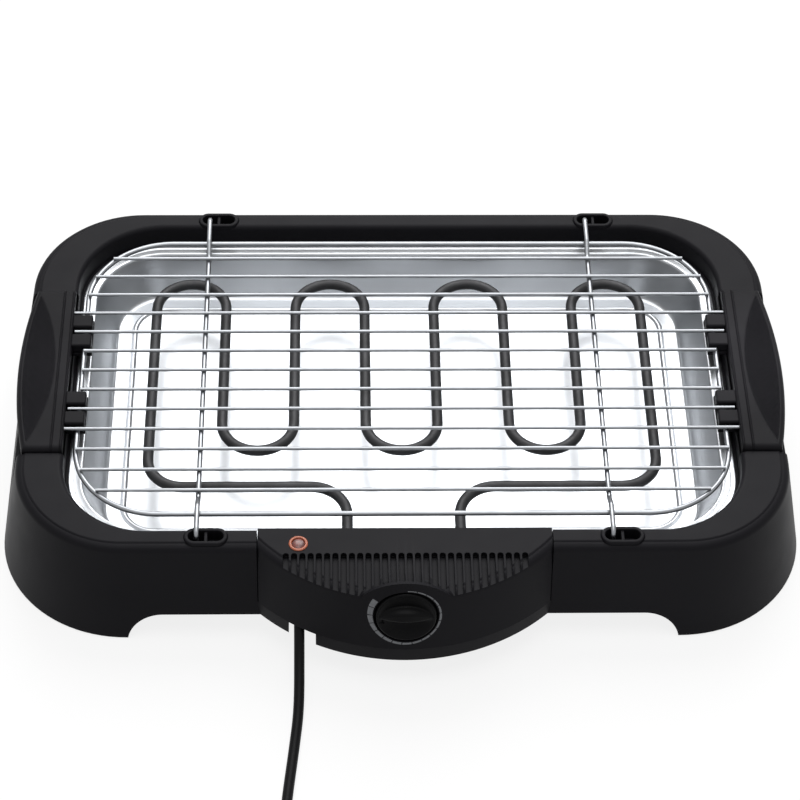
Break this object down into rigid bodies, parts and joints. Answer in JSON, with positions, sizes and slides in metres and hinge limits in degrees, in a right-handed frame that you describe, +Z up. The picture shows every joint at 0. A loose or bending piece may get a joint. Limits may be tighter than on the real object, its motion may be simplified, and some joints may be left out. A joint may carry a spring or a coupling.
{
  "type": "electric tabletop grill",
  "caption": "Electric tabletop grill: rectangular plastic frame, lift-out drip tray, removable control unit with heating element and dial, and a lift-off wire rack with two handles.",
  "frame": {"origin": "on the table, under the middle of the frame's footprint with the control unit", "axes": "+Z up, -Y towards the dial, +X to the right as seen from the dial"},
  "size_m": [0.472, 0.536, 0.0797],
  "materials": {
    "frame_plastic": "fine-grained satin",
    "handle_plastic": "fine-grained satin",
    "knob_plastic": "semi-gloss",
    "foot_rubber": "matt",
    "tray_metal": "bright",
    "rack_chrome": "bright plated",
    "element_steel": "dark satin",
    "plain_steel": "satin",
    "lamp_ring": "coppery gloss",
    "lamp_red": "translucent",
    "pale_insulator": "matt",
    "brown_insulator": "matt",
    "cord_black": "satin",
    "pin_metal": "nickel plated",
    "earth_brass": "plain"
  },
  "bodies": {
    "base": {"base_frame": "frame_plastic", "leg_sockets": "frame_plastic", "rubber_feet": "foot_rubber"},
    "tray": {"drip_tray": "tray_metal"},
    "control": {"control_housing": "frame_plastic", "control_cover": "frame_plastic", "cover_screws": "plain_steel", "heating_element": "element_steel", "element_flange": "plain_steel", "element_terminals": "plain_steel", "thermostat": "brown_insulator", "thermostat_bracket": "plain_steel", "lamp_bezel": "lamp_ring", "lamp_lens": "lamp_red", "neon_lamp": "pale_insulator", "terminal_block": "pale_insulator", "thermal_fuse": "plain_steel", "inner_wires": "brown_insulator", "cord_clamp": "frame_plastic", "strain_relief": "cord_black", "cord_tail": "cord_black", "cord_run": "cord_black", "cord_coil": "cord_black", "cord_end": "cord_black", "cord_tie": "cord_black", "plug_body": "cord_black", "plug_pins": "pin_metal", "plug_earth_clips": "earth_brass"},
    "knob": {"knob": "knob_plastic", "thermostat_shaft": "plain_steel"},
    "rack": {"rack_rim": "rack_chrome", "rack_rods": "rack_chrome", "rack_legs": "rack_chrome", "handle_left": "handle_plastic", "handle_right": "handle_plastic", "handle_clamps": "handle_plastic", "handle_screws": "plain_steel"}
  },
  "joints": [
    {"name": "tray_lift", "type": "slide", "parent": "base", "child": "tray", "axis": [0, 0, 1], "range_m": [0, 0.06]},
    {"name": "control_lift", "type": "slide", "parent": "tray", "child": "control", "axis": [0, 0, 1], "range_m": [0, 0.07]},
    {"name": "rack_lift", "type": "slide", "parent": "control", "child": "rack", "axis": [0, 0, 1], "range_m": [0, 0.08]},
    {"name": "knob_turn", "type": "hinge", "parent": "control", "child": "knob", "pos_m": [0, -0.15871, 0.052], "axis": [0, -0.9824, 0.1867], "range_deg": [-30, 270]}
  ]
}
